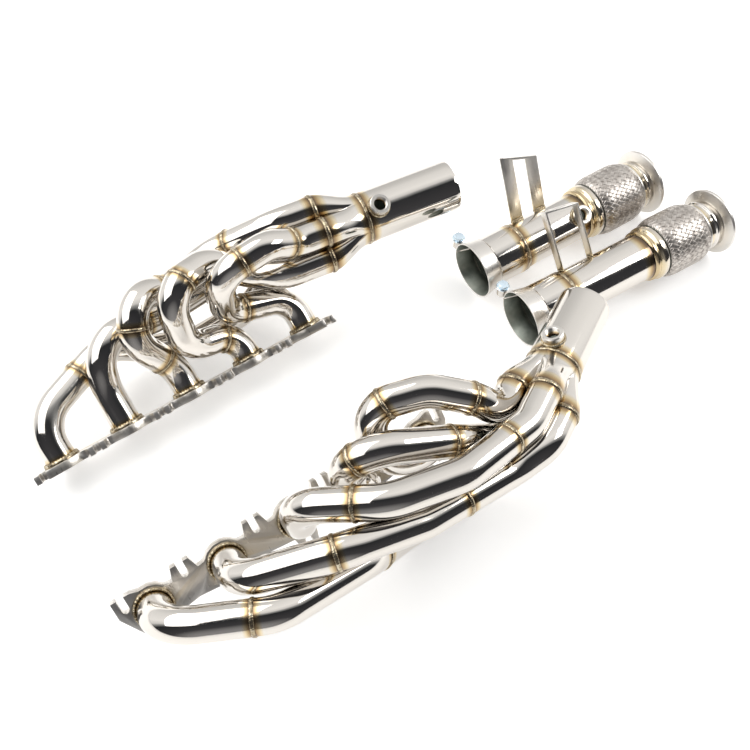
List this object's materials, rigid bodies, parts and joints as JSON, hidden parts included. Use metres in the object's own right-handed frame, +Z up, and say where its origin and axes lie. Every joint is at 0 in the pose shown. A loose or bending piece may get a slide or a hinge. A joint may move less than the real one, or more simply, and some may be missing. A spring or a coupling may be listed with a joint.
{
  "type": "racing exhaust system",
  "caption": "Pair of tubular racing exhaust headers with scalloped head flanges, merge collectors and flexible link pipes with braided couplings.",
  "frame": {"origin": "centre of the bounding box on the surface that the set lies on", "axes": "+X from the head flanges' far end to the outlets, +Z up"},
  "size_m": [1.0869, 0.5602, 0.2282],
  "materials": {
    "stainless_polished": "mirror-polished stainless tube with heat-tinted welds",
    "stainless_brushed": "satin brushed stainless steel",
    "stainless_braid": "woven stainless wire braid",
    "zinc_plated_steel": "bright zinc plate"
  },
  "bodies": {
    "left_header": {"left_flange": "stainless_brushed", "left_merge_collector": "stainless_polished", "left_outlet_pipe": "stainless_polished", "left_oxygen_sensor_bung": "stainless_brushed", "left_runner_1_collector_run": "stainless_polished", "left_runner_1_port_bend": "stainless_polished", "left_runner_2_collector_run": "stainless_polished", "left_runner_2_port_bend": "stainless_polished", "left_runner_3_collector_run": "stainless_polished", "left_runner_3_port_bend": "stainless_polished", "left_runner_4_collector_run": "stainless_polished", "left_runner_4_port_bend": "stainless_polished", "left_runner_5_collector_run": "stainless_polished", "left_runner_5_port_bend": "stainless_polished"},
    "right_header": {"right_flange": "stainless_brushed", "right_merge_collector": "stainless_polished", "right_outlet_pipe": "stainless_polished", "right_oxygen_sensor_bung": "stainless_brushed", "right_runner_1_collector_run": "stainless_polished", "right_runner_1_port_bend": "stainless_polished", "right_runner_2_collector_run": "stainless_polished", "right_runner_2_port_bend": "stainless_polished", "right_runner_3_collector_run": "stainless_polished", "right_runner_3_port_bend": "stainless_polished", "right_runner_4_collector_run": "stainless_polished", "right_runner_4_port_bend": "stainless_polished", "right_runner_5_collector_run": "stainless_polished", "right_runner_5_port_bend": "stainless_polished"},
    "link_1": {"link_1_clamp_ear": "stainless_brushed", "link_1_flex_bellows": "stainless_brushed", "link_1_flex_braid": "stainless_braid", "link_1_flex_front_collar": "stainless_polished", "link_1_flex_liner": "stainless_brushed", "link_1_hanger_strap": "stainless_brushed", "link_1_oxygen_sensor_bung": "stainless_brushed", "link_1_pipe": "stainless_polished", "link_1_slip_socket": "stainless_brushed"},
    "link_1_bolt": {"link_1_clamp_bolt": "zinc_plated_steel"},
    "link_1_outlet": {"link_1_flex_rear_collar": "stainless_brushed", "link_1_outlet_neck": "stainless_polished", "link_1_outlet_flange": "stainless_brushed"},
    "link_2": {"link_2_clamp_ear": "stainless_brushed", "link_2_flex_bellows": "stainless_brushed", "link_2_flex_braid": "stainless_braid", "link_2_flex_front_collar": "stainless_polished", "link_2_flex_liner": "stainless_brushed", "link_2_hanger_strap": "stainless_brushed", "link_2_pipe": "stainless_polished", "link_2_slip_socket": "stainless_brushed"},
    "link_2_bolt": {"link_2_clamp_bolt": "zinc_plated_steel"},
    "link_2_outlet": {"link_2_flex_rear_collar": "stainless_brushed", "link_2_outlet_neck": "stainless_polished", "link_2_outlet_flange": "stainless_brushed"}
  },
  "joints": [
    {"name": "left_header_lift", "type": "slide", "parent": "link_2", "child": "left_header", "axis": [0, 0, 1], "range_m": [0, 0.25]},
    {"name": "right_header_lift", "type": "slide", "parent": "link_2", "child": "right_header", "axis": [0, 0, 1], "range_m": [0, 0.25]},
    {"name": "link_1_slide", "type": "slide", "parent": "link_2", "child": "link_1", "axis": [1, 0, 0], "range_m": [0, 0.25]},
    {"name": "link_1_flex", "type": "hinge", "parent": "link_1", "child": "link_1_outlet", "pos_m": [0.4327, 0.05306, 0.05253], "axis": [0, 0, 1], "range_deg": [-6, 6], "stiffness_Nm_per_rad": 30, "deforming": ["link_1_flex_braid", "link_1_flex_bellows", "link_1_flex_liner"]},
    {"name": "link_1_bolt_turn", "type": "hinge", "parent": "link_1", "child": "link_1_bolt", "pos_m": [0.17352, 0.11766, 0.05337], "axis": [-0.0235, 0.001, 0.9997], "continuous": true},
    {"name": "link_2_flex", "type": "hinge", "parent": "link_2", "child": "link_2_outlet", "pos_m": [0.45922, -0.0703, 0.0525], "axis": [0, 0, 1], "range_deg": [-6, 6], "stiffness_Nm_per_rad": 30, "deforming": ["link_2_flex_braid", "link_2_flex_bellows", "link_2_flex_liner"]},
    {"name": "link_2_bolt_turn", "type": "hinge", "parent": "link_2", "child": "link_2_bolt", "pos_m": [0.17317, 0.00477, 0.0532], "axis": [-0.0216, 0.0015, 0.9998], "continuous": true}
  ]
}
